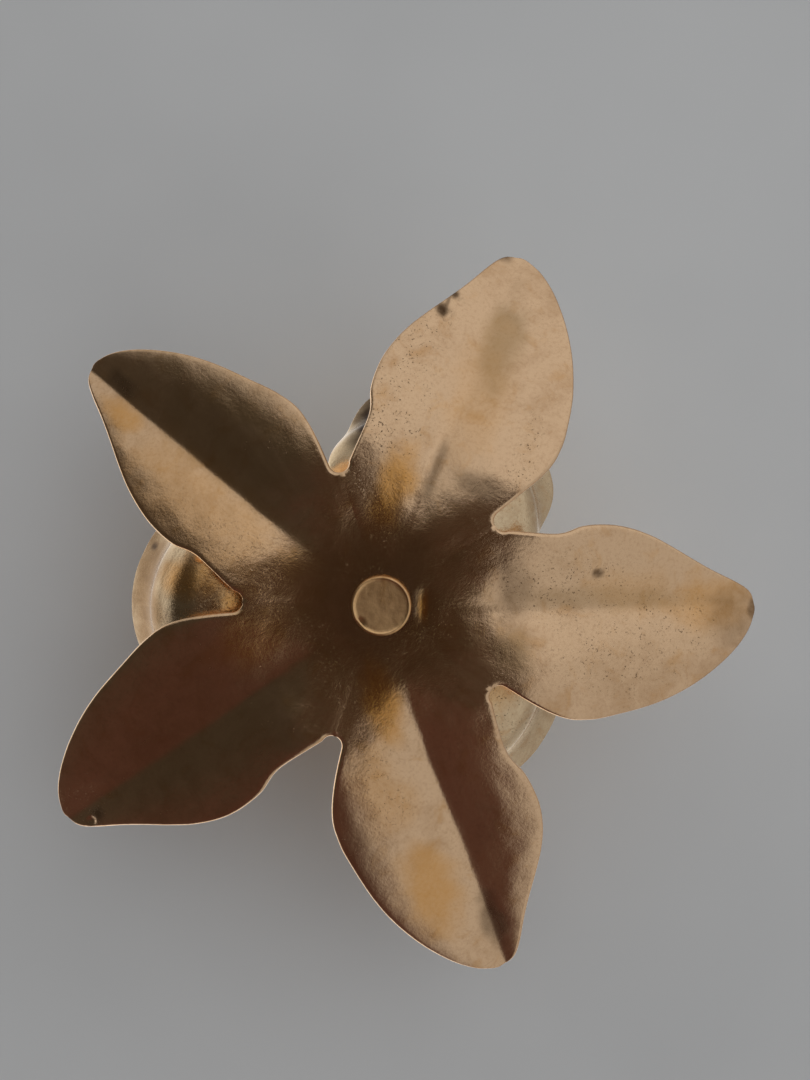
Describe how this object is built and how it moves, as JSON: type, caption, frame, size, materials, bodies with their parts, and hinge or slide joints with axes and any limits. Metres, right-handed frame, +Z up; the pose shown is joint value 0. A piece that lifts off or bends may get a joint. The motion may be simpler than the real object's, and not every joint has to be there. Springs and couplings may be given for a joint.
{
  "type": "wall sconce candle holder",
  "caption": "Cast-brass flower sconce: big pointed petals around a petal cup, a hanging stud behind, and a bent arm in front with a drip pan and a candle socket.",
  "frame": {"origin": "centre of the hanging stud's flat back face, in the wall plane", "axes": "+Z up, -Y out from the wall towards the room, so +Y points into the wall; the candle's axis is parallel to +Z"},
  "size_m": [0.1976, 0.0755, 0.1901],
  "materials": {
    "outer_casting": "aged polished cast brass, pitted, browned",
    "inner_casting": "aged polished cast brass, paler",
    "stud_brass": "worn turned brass",
    "turned_brass": "satin turned brass",
    "screw_brass": "plain brass screw"
  },
  "bodies": {
    "root": {"outer_petals": "outer_casting", "inner_petals": "inner_casting", "back_stud": "stud_brass", "petal_spacer": "turned_brass", "arm_collar": "turned_brass", "candle_arm": "turned_brass", "drip_pan": "turned_brass", "candle_socket": "turned_brass", "socket_screw": "screw_brass"}
  },
  "joints": []
}
